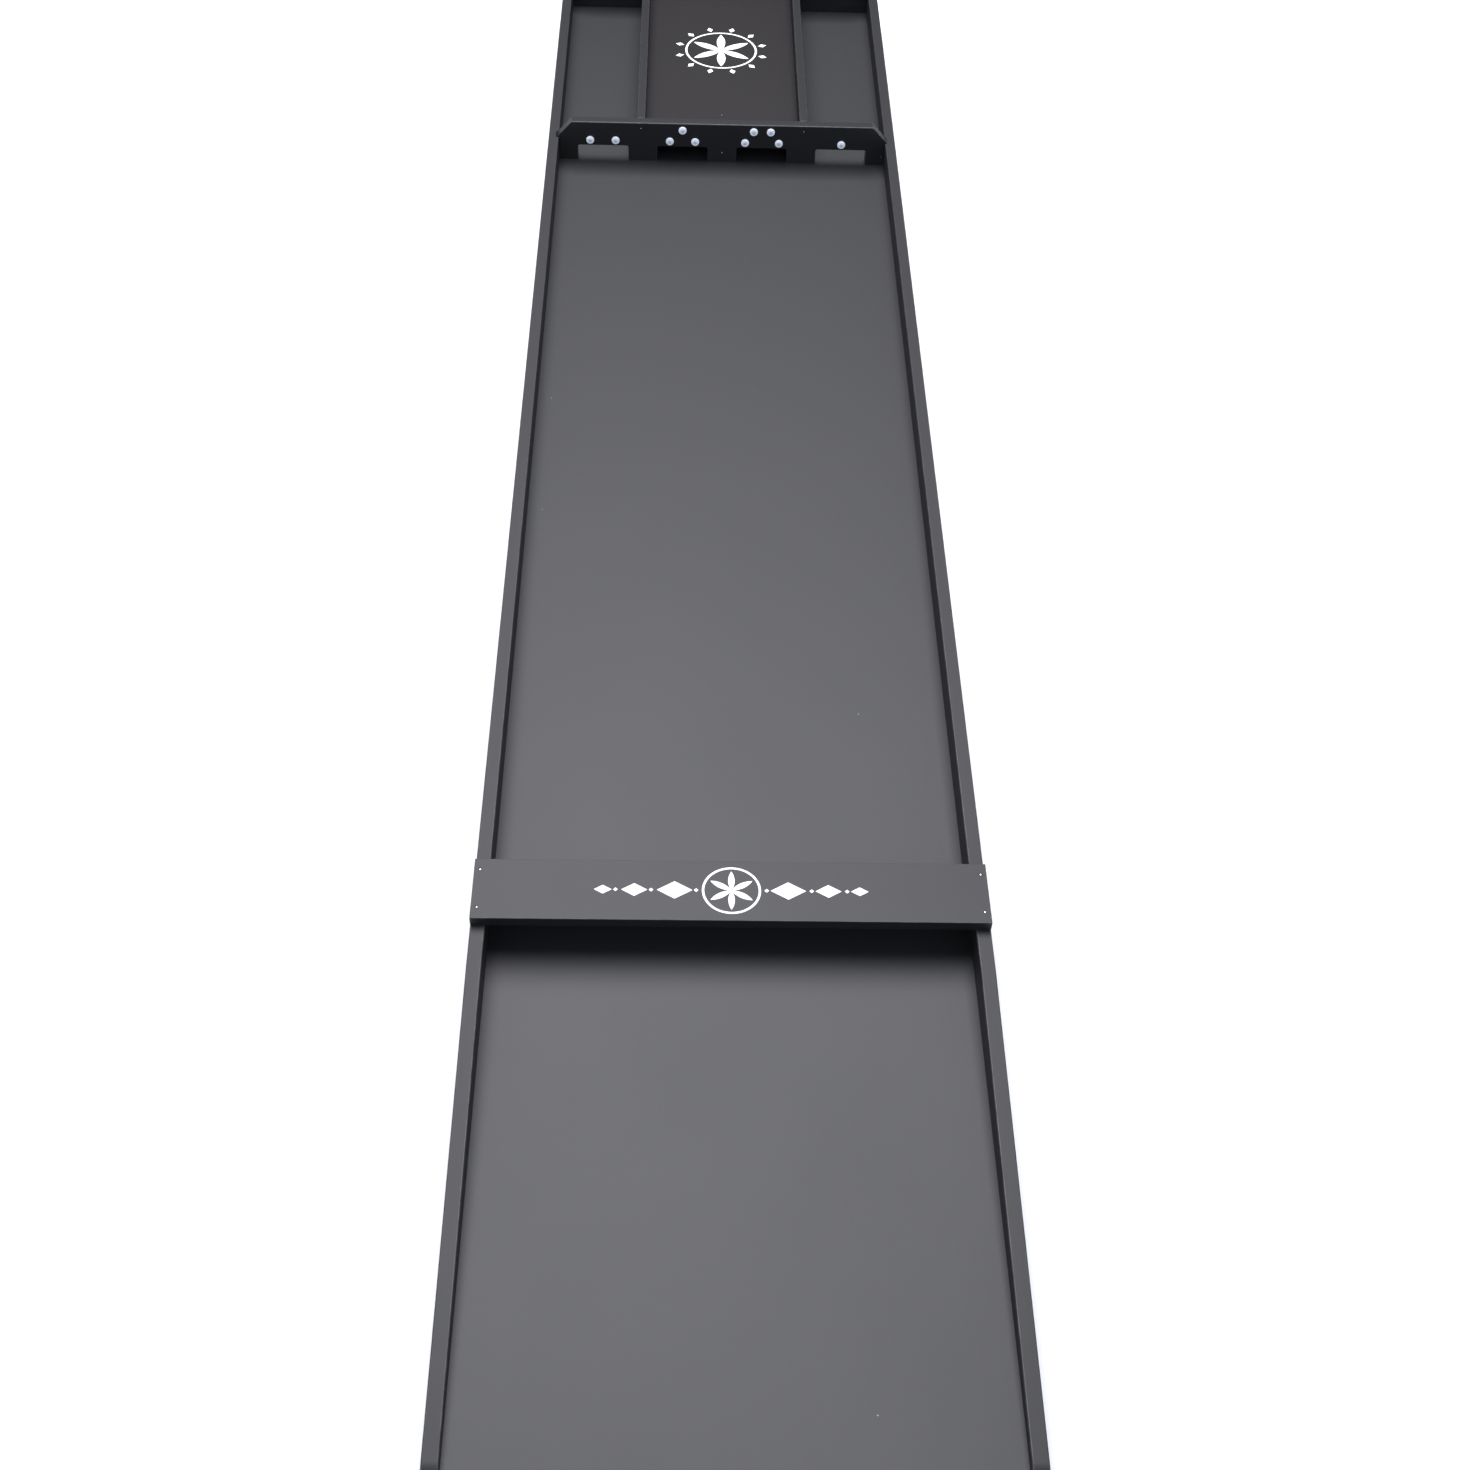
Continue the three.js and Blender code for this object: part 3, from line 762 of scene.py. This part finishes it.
class BOARD_OT_rails(BoardOperator, bpy.types.Operator):
    """Shapes the two side rails with their sloping fronts, rounded noses, grooves and housings"""

    bl_idname = "board.rails"
    bl_label = "Side rails"

    def execute(self, context):
        size = sizes()
        look = finishes()
        material = paint("satin_rail_paint", look.rail_paint, look.rail_roughness, look.rail_gloss, 1)
        inner, outer = RAIL_LOW.x, RAIL_HIGH.x
        slope = atan2(size.rail_drop, size.rail_slope)
        nose_reach = size.nose / tan((pi / 2 + slope) / 2)
        for name, side in SIDES.items():
            left, right = sorted((side * inner, side * outer))
            bm = plank((left, RAIL_LOW.y, RAIL_LOW.z), (right, RAIL_HIGH.y, RAIL_HIGH.z))
            bmesh.ops.bisect_plane(
                bm, geom=everything(bm), dist=MERGE_DISTANCE,
                plane_co=(0, RAIL_LOW.y + size.rail_slope, 0), plane_no=(0, 1, 0),
            )
            front = [
                vert for vert in bm.verts
                if abs(vert.co.y - RAIL_LOW.y) < size.fit and abs(vert.co.z - RAIL_HIGH.z) < size.fit
            ]
            bmesh.ops.translate(bm, vec=(0, 0, -size.rail_drop), verts=front)
            nose = sharp_edges(bm, lambda edge, middle: all(vert in front for vert in edge.verts))
            bmesh.ops.bevel(
                bm, geom=nose, offset=nose_reach, offset_type="OFFSET", affect="EDGES",
                segments=size.nose_steps, profile=0.5, material=-1,
            )
            ease(bm, size.rail_arris, lambda edge, middle: middle.z > size.fit)
            ease(bm, size.fine_arris, lambda edge, middle: middle.z < size.fit)
            piece = object_from(bm, f"{name}_rail_painted")
            near = side * (inner - size.overrun)
            left, right = sorted((near, side * (inner + size.rail_groove + size.fit)))
            groove = plank(
                (left, RAIL_LOW.y - size.overrun, SURFACE_LOW.z - size.fit),
                (right, RAIL_HIGH.y + size.overrun, SURFACE_HIGH.z + size.fit),
            )
            carve(piece, [groove])
            left, right = sorted((near, side * (GATE_HIGH.x + size.fit)))
            housing = plank(
                (left, GATE_LOW.y - size.fit, SURFACE_HIGH.z),
                (right, GATE_HIGH.y + size.fit, RAIL_HIGH.z + size.overrun),
            )
            carve(piece, [housing, *pin_bores(f"{name}_rail_pin", "start_bar_pin")])
            dress(piece, material, "rail_paint", f"{name}_side_rail")
        return {"FINISHED"}


class BOARD_OT_surface(BoardOperator, bpy.types.Operator):
    """Lays the painted playing surface, its underside bare board"""

    bl_idname = "board.surface"
    bl_label = "Playing surface"

    def execute(self, context):
        bm = plank(SURFACE_LOW, SURFACE_HIGH)
        ease(bm, sizes().fine_arris)
        piece = object_from(bm, "playing_surface_lacquered")
        carve(piece, pin_bores("divider_pin"))
        look = finishes()
        material = paint(
            "satin_surface_paint", look.surface_paint, look.surface_roughness, look.surface_gloss, 1,
            flecks=0.02, grain=0.02, under=look.bare_board,
        )
        dress(piece, material, "surface_paint", "playing_surface")
        return {"FINISHED"}


def cut_corner_outline(half_width, base, top, y):
    """The front outline of the gate bar and the end board, with its cut corners"""
    size = sizes()
    cut, drop = size.corner_cut, size.corner_drop
    return [
        Vector((-half_width, y, base)), Vector((-half_width, y, top - drop)),
        Vector((-half_width + cut, y, top)), Vector((half_width - cut, y, top)),
        Vector((half_width, y, top - drop)), Vector((half_width, y, base)),
    ]


def gate_middles():
    """Where the four gates are across the board, evenly spaced"""
    size = sizes()
    outermost = RAIL_LOW.x - size.gate_inset - size.gate_width / 2
    return [outermost * step for step in (1, 1 / 3, -1 / 3, -1)]


class BOARD_OT_bars(BoardOperator, bpy.types.Operator):
    """Shapes the start bar, the gate bar with its four gates, and the end board"""

    bl_idname = "board.bars"
    bl_label = "Bars and end board"

    def execute(self, context):
        size = sizes()
        look = finishes()
        material = paint(
            "satin_bar_paint", look.bar_paint, look.bar_roughness, look.bar_gloss, 0, flecks=0.012,
        )

        bm = plank(START_LOW, START_HIGH)
        ease(bm, size.bar_arris)
        start_bar = object_from(bm, "start_bar_painted")
        carve(start_bar, pin_bores("start_bar_pin"))
        dress(start_bar, material, "bar_paint", "start_bar")

        base, y = GATE_LOW.z, GATE_LOW.y
        points = cut_corner_outline(GATE_HIGH.x, base, GATE_HIGH.z, y)
        for middle in gate_middles():
            left, right = middle - size.gate_width / 2, middle + size.gate_width / 2
            points += [
                Vector((right, y, base)), Vector((right, y, base + size.gate_rise)),
                Vector((left, y, base + size.gate_rise)), Vector((left, y, base)),
            ]
        bm = moulding(points, (0, GATE_HIGH.y - GATE_LOW.y, 0))
        corners = sharp_edges(bm, lambda edge, middle: (
            abs(edge.verts[0].co.y - edge.verts[1].co.y) > size.fit
            and abs(middle.z - base - size.gate_rise) < size.fit
        ))
        bmesh.ops.bevel(
            bm, geom=corners, offset=size.gate_corner, offset_type="OFFSET", affect="EDGES",
            segments=size.arris_steps, profile=0.5, material=-1,
        )
        ease(bm, size.gate_arris, lambda edge, middle: (
            middle.z > GATE_HIGH.z - size.corner_drop - size.fit
            and abs(edge.verts[0].co.y - edge.verts[1].co.y) < size.fit
            and abs(edge.verts[0].co.z - edge.verts[1].co.z) < size.fit
        ))
        ease(bm, size.fine_arris, lambda edge, middle: (
            base + size.fit < middle.z < base + size.gate_rise + size.fit
        ))
        gate_bar = object_from(bm, "gate_bar_painted")
        carve(gate_bar, [*nail_bores(), *pin_bores("gate_bar_pin", "left_rail_pin", "right_rail_pin")])
        dress(gate_bar, material, "bar_paint", "gate_bar")

        points = cut_corner_outline(END_HIGH.x, END_LOW.z, END_HIGH.z, END_LOW.y)
        bm = moulding(points, (0, END_HIGH.y - END_LOW.y, 0))
        ease(bm, size.bar_arris)
        end_board = object_from(bm, "end_board_painted")
        groove = plank(
            (-RAIL_HIGH.x, END_LOW.y - size.overrun, SURFACE_LOW.z - size.fit),
            (RAIL_HIGH.x, SURFACE_HIGH.y + size.fit, SURFACE_HIGH.z + size.fit),
        )
        carve(end_board, [groove, *pin_bores("end_board_pin", "left_rail_pin", "right_rail_pin")])
        dress(end_board, material, "bar_paint", "end_board")
        return {"FINISHED"}


class BOARD_OT_compartments(BoardOperator, bpy.types.Operator):
    """Shapes the three dividers and the cover panel over the middle compartments"""

    bl_idname = "board.compartments"
    bl_label = "Compartments"

    def execute(self, context):
        size = sizes()
        look = finishes()
        material = paint("satin_divider_paint", look.bar_paint, look.bar_roughness, look.bar_gloss, 1)
        for name, side in SIDES.items():
            low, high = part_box(f"{name}_divider")
            inner, outer = (high.x, low.x) if side < 0 else (low.x, high.x)
            floor_of_groove = inner + side * (size.cover_groove + size.fit)
            under, over = COVER_LOW.z - size.fit, COVER_HIGH.z + size.fit
            section = [
                (outer, low.z), (outer, high.z), (inner, high.z), (inner, over),
                (floor_of_groove, over), (floor_of_groove, under), (inner, under), (inner, low.z),
            ]
            bm = moulding([(x, low.y, z) for x, z in section], (0, high.y - low.y, 0))
            ease(bm, size.rail_arris, lambda edge, middle: middle.z > high.z - size.fit)
            divider = object_from(bm, f"{name}_divider_painted")
            carve(divider, pin_bores("gate_bar_pin", "end_board_pin", "divider_pin"))
            dress(divider, material, "bar_paint", f"{name}_divider")

        low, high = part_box("centre_divider")
        bm = plank(low, high)
        ease(bm, size.fine_arris, lambda edge, middle: middle.z > high.z - size.fit)
        centre = object_from(bm, "centre_divider_painted")
        carve(centre, pin_bores("gate_bar_pin", "end_board_pin", "divider_pin", "cover_pin"))
        dress(centre, material, "bar_paint", "centre_divider")

        bm = plank(COVER_LOW, COVER_HIGH)
        ease(bm, size.fine_arris)
        cover = object_from(bm, "cover_panel_painted")
        carve(cover, pin_bores("cover_pin"))
        cover_paint = paint(
            "brown_black_cover_paint", look.cover_paint, look.cover_roughness, look.cover_gloss, 1,
            grain=0.05,
        )
        dress(cover, cover_paint, "cover_paint", "cover_panel")
        return {"FINISHED"}


class BOARD_OT_battens(BoardOperator, bpy.types.Operator):
    """Shapes the cross battens under the playing surface"""

    bl_idname = "board.battens"
    bl_label = "Battens"

    def execute(self, context):
        material = softwood("planed_softwood")
        for name in BATTENS:
            low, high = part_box(name)
            bm = plank(low, high)
            ease(bm, sizes().batten_arris)
            piece = object_from(bm, f"{name}_planed")
            carve(piece, pin_bores("left_rail_pin", "right_rail_pin"))
            dress(piece, material, "batten_wood", name)
        return {"FINISHED"}


class BOARD_OT_nails(BoardOperator, bpy.types.Operator):
    """Turns the number nails on the gate bar, each with a rounded brim and a low boss"""

    bl_idname = "board.nails"
    bl_label = "Number nails"

    def execute(self, context):
        size = sizes()
        material = lacquered_nail_with_painted_ring("pale_nail_lacquer_painted_ring")
        for name in NAILS:
            low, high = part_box(name)
            radius = (high.z - low.z) / 2 - size.fit
            place = Vector(((low.x + high.x) / 2, GATE_LOW.y, (low.z + high.z) / 2))
            reach = high.y - GATE_LOW.y
            rim, flat = size.nail_rim, radius - size.nail_rim
            turns = [step / HEAD_STEPS * pi / 2 for step in range(HEAD_STEPS)]
            edge = [(flat + rim * cos(turn), size.nail_side + rim * sin(turn)) for turn in turns]
            boss = size.nail_boss
            swell = size.nail_rise - size.nail_brim
            crown = [(boss * cos(turn), size.nail_brim + swell * sin(turn)) for turn in turns]
            profile = [
                (0, -reach), (size.nail_shank, size.nail_point - reach), (size.nail_shank, 0),
                (radius, 0), *edge, (flat, size.nail_side + rim), *crown, (0, size.nail_rise),
            ]
            bm = lathe(profile, place, Vector((0, 1, 0)), HEAD_SIDES)
            mark_reach(bm, place, Vector((0, 1, 0)), radius)
            piece = object_from(bm, f"{name}_polished")
            dress(piece, material, "nickel_nail", name)
        return {"FINISHED"}


class BOARD_OT_pins(BoardOperator, bpy.types.Operator):
    """Turns the slim pins, each with a punch mark in its head"""

    bl_idname = "board.pins"
    bl_label = "Pins"

    def execute(self, context):
        size = sizes()
        material = pin_steel("bright_pin_steel")
        for stem, (count, direction) in PIN_SETS.items():
            for name in pin_names(stem):
                head, reach = pin_head(name, direction)
                wide = head_radius(name, direction)
                depth, dimple = size.pin_head_depth, size.pin_dimple
                eased, punched = depth / 3, depth / 2
                profile = [
                    (0, -reach), (size.pin_shank, size.pin_point - reach), (size.pin_shank, -depth),
                    (wide, -depth), (wide, -eased), (wide - eased, 0), (dimple, 0),
                    (dimple / 2, -punched), (0, -punched),
                ]
                bm = lathe(profile, head, direction, PIN_SIDES)
                mark_reach(bm, head, direction, wide)
                piece = object_from(bm, f"{name}_driven")
                dress(piece, material, "pin_steel", name)
        return {"FINISHED"}


# Ornaments


def ring(bm, middle, radius, width):
    """A flat ring"""
    made = bmesh.ops.create_circle(
        bm, cap_ends=True, segments=RING_SIDES, radius=radius, matrix=Matrix.Translation(middle),
    )
    face = made["verts"][0].link_faces[0]
    bmesh.ops.inset_region(bm, faces=[face], thickness=width, use_even_offset=True, use_boundary=True)
    bmesh.ops.delete(bm, geom=[face], context="FACES_ONLY")


def lozenge(bm, middle, half_length, half_width, turn=Matrix.Identity(4)):
    """A flat diamond, longest across the board before its turn"""
    made = bmesh.ops.create_circle(bm, cap_ends=True, segments=4, radius=1.0)
    bmesh.ops.scale(bm, vec=(half_length, half_width, 1.0), verts=made["verts"])
    bmesh.ops.translate(bm, vec=middle, verts=made["verts"])
    bmesh.ops.transform(bm, matrix=turn, verts=made["verts"])


def rosette(bm, middle, radius, petals=6):
    """Petals drawn as a pair of compasses draws them, each between two arcs of the same radius"""
    flower = bmesh.new()
    centre = Vector((radius * cos(pi / petals), radius * sin(pi / petals), 0))
    bmesh.ops.create_circle(
        flower, cap_ends=True, segments=PETAL_SIDES, radius=radius, matrix=Matrix.Translation(centre),
    )
    bmesh.ops.bisect_plane(
        flower, geom=everything(flower), dist=PLANE_DISTANCE, plane_co=(0, 0, 0), plane_no=(1, 0, 0),
        clear_outer=True,
    )
    bmesh.ops.mirror(flower, geom=everything(flower), axis="X", merge_dist=MERGE_DISTANCE)
    spine = [edge for edge in flower.edges if len(edge.link_faces) == 2]
    bmesh.ops.dissolve_edges(flower, edges=spine)
    bmesh.ops.spin(
        flower, geom=everything(flower), cent=(0, 0, 0), axis=(0, 0, 1),
        angle=2 * pi * (petals - 1) / petals, steps=petals - 1, use_duplicate=True,
    )
    bmesh.ops.translate(flower, vec=middle, verts=flower.verts)
    sheet = bpy.data.meshes.new("petals")
    flower.to_mesh(sheet)
    flower.free()
    bm.from_mesh(sheet)
    bpy.data.meshes.remove(sheet)


def print_object(bm, name, height):
    """Gives flat printed shapes their thickness, on a surface of that height"""
    bmesh.ops.recalc_face_normals(bm, faces=bm.faces)
    raised = bmesh.ops.extrude_face_region(bm, geom=bm.faces[:])["geom"]
    verts = [item for item in raised if isinstance(item, bmesh.types.BMVert)]
    bmesh.ops.translate(bm, vec=(0, 0, sizes().print_depth), verts=verts)
    bmesh.ops.translate(bm, vec=(0, 0, height), verts=bm.verts)
    bmesh.ops.recalc_face_normals(bm, faces=bm.faces)
    return object_from(bm, name)


def roundel(bm, spot, radius, line):
    """A rosette in a ring"""
    ring(bm, spot, radius, line)
    rosette(bm, spot, radius - PETAL_GAP * line)


class BOARD_OT_ornaments(BoardOperator, bpy.types.Operator):
    """Prints a plain white rosette ornament on the start bar and another on the cover panel"""

    bl_idname = "board.ornaments"
    bl_label = "Ornaments"

    def execute(self, context):
        size = sizes()
        material = printing("flat_white_print")
        bm = bmesh.new()
        spot = (START_LOW + START_HIGH) / 2
        spot.z = 0
        radius = size.start_roundel
        roundel(bm, spot, radius, size.print_line)
        for side in SIDES.values():
            reach = radius
            for half_share in LOZENGE_HALVES:
                half = radius * half_share
                dot = radius * DOT_HALF
                lozenge(bm, spot + Vector((side * (reach + dot * DOT_PLACE), 0, 0)), dot, dot)
                reach += dot * DOT_ROOM + half
                lozenge(bm, spot + Vector((side * reach, 0, 0)), half, half * LOZENGE_WAIST)
                reach += half
        dress(print_object(bm, "start_bar_print", START_HIGH.z), material, "print_white")

        bm = bmesh.new()
        spot = Vector((0, END_LOW.y - size.cover_roundel_reach, 0))
        radius = size.cover_roundel
        roundel(bm, spot, radius, size.print_line * COVER_LINE)
        half = radius * RAY_HALF
        middle = (radius * RAY_START + half, 0, 0)
        for step in range(RAYS):
            turn = Matrix.Translation(spot) @ Matrix.Rotation(2 * pi * (step + 0.5) / RAYS, 4, "Z")
            lozenge(bm, middle, half, half * RAY_WAIST, turn)
        dress(print_object(bm, "cover_panel_print", COVER_HIGH.z), material, "print_white")
        return {"FINISHED"}


OPERATORS = (
    BOARD_OT_stage,
    BOARD_OT_rails,
    BOARD_OT_surface,
    BOARD_OT_bars,
    BOARD_OT_compartments,
    BOARD_OT_battens,
    BOARD_OT_nails,
    BOARD_OT_pins,
    BOARD_OT_ornaments,
)


class BOARD_PT_panel(bpy.types.Panel):
    """Lists the pieces of the board and their settings"""

    bl_idname = "BOARD_PT_panel"
    bl_label = "Shuffleboard"
    bl_space_type = "VIEW_3D"
    bl_region_type = "UI"
    bl_category = "Shuffleboard"

    def draw(self, context):
        column = self.layout.column(align=True)
        for operator in OPERATORS:
            column.operator(operator.bl_idname)
        for group in (context.scene.board_sizes, context.scene.board_finishes, context.scene.board_studio):
            box = self.layout.box()
            for name in type(group).__annotations__:
                box.prop(group, name)


CLASSES = (BoardSizes, BoardFinishes, StudioSettings, *OPERATORS, BOARD_PT_panel)


def register():
    for cls in CLASSES:
        bpy.utils.register_class(cls)
    bpy.types.Scene.board_sizes = PointerProperty(type=BoardSizes)
    bpy.types.Scene.board_finishes = PointerProperty(type=BoardFinishes)
    bpy.types.Scene.board_studio = PointerProperty(type=StudioSettings)


def unregister():
    del bpy.types.Scene.board_studio
    del bpy.types.Scene.board_finishes
    del bpy.types.Scene.board_sizes
    for cls in reversed(CLASSES):
        bpy.utils.unregister_class(cls)


def main():
    register()
    for operator in OPERATORS:
        family, name = operator.bl_idname.split(".")
        getattr(getattr(bpy.ops, family), name)()


if __name__ == "__main__":
    main()
